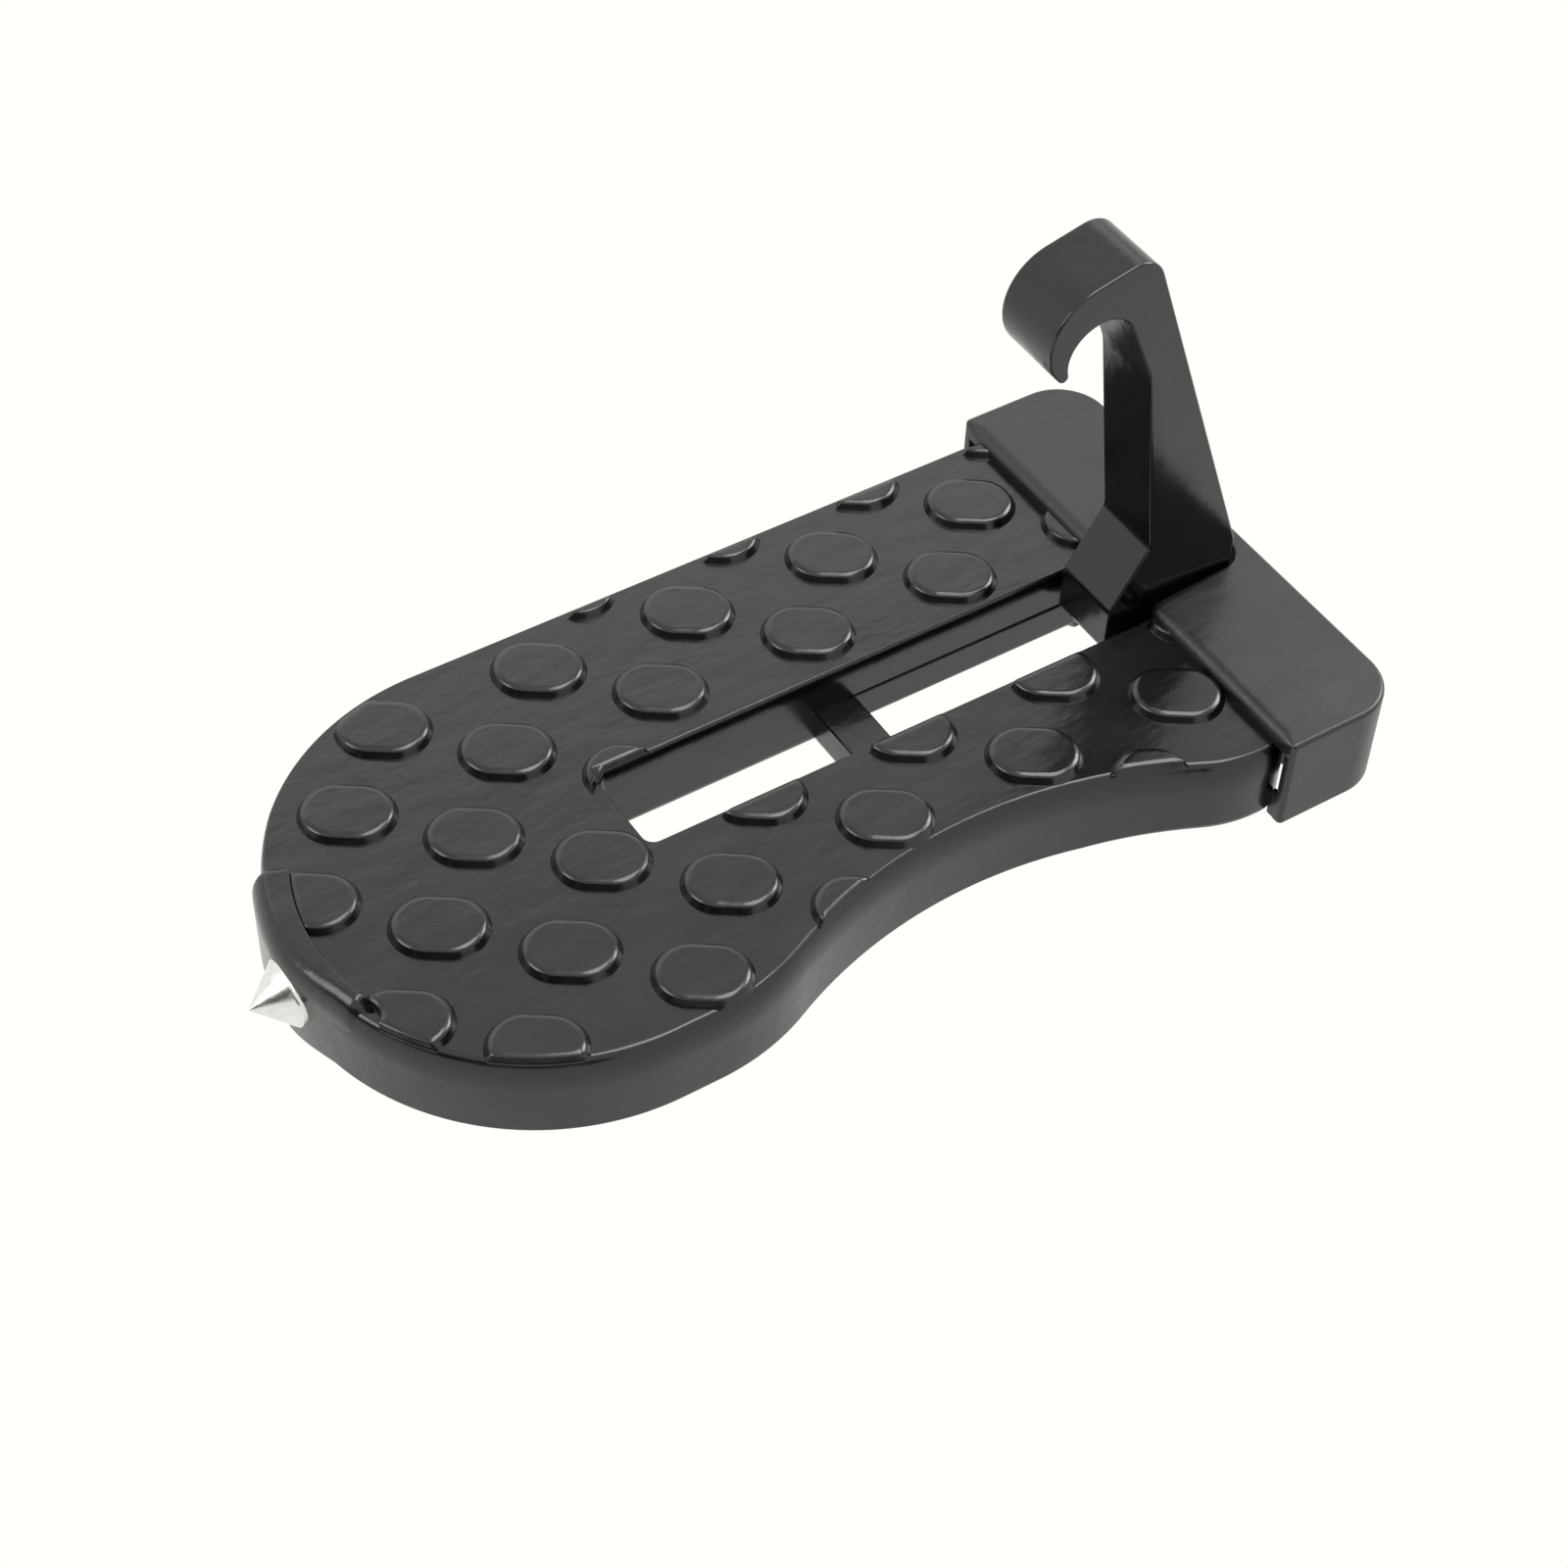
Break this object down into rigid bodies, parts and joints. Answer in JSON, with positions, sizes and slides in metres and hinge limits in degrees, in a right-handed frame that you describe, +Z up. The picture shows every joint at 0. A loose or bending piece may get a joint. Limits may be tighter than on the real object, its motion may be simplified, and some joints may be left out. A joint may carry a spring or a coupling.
{
  "type": "car door step",
  "caption": "Folding foot step for a car's door opening: a sole-shaped cast plate with a raised oval tread, a striker hook that folds into its slot, a rubber end bumper and a glass-breaker tip.",
  "frame": {"origin": "under the middle of the whole part, on the plane the plate rests on", "axes": "+X from the breaker tip to the bumper, +Y across, away from the waisted side, +Z up out of the tread"},
  "size_m": [0.1606, 0.08, 0.0798],
  "materials": {
    "plate_coat": "satin",
    "hook_coat": "satin",
    "bumper_rubber": "matte",
    "tip_steel": "polished",
    "fixing_steel": "plain"
  },
  "bodies": {
    "step": {"foot_plate": "plate_coat", "hinge_pin": "fixing_steel", "end_bumper": "bumper_rubber", "bumper_screw_near": "fixing_steel", "bumper_screw_far": "fixing_steel", "hammer_tip": "tip_steel"},
    "folding_hook": {"hook": "hook_coat"}
  },
  "joints": [
    {"name": "hook_fold", "type": "hinge", "parent": "step", "child": "folding_hook", "pos_m": [0.06965, 0, 0.0062], "axis": [0, -1, 0], "range_deg": [0, 73.2]}
  ]
}
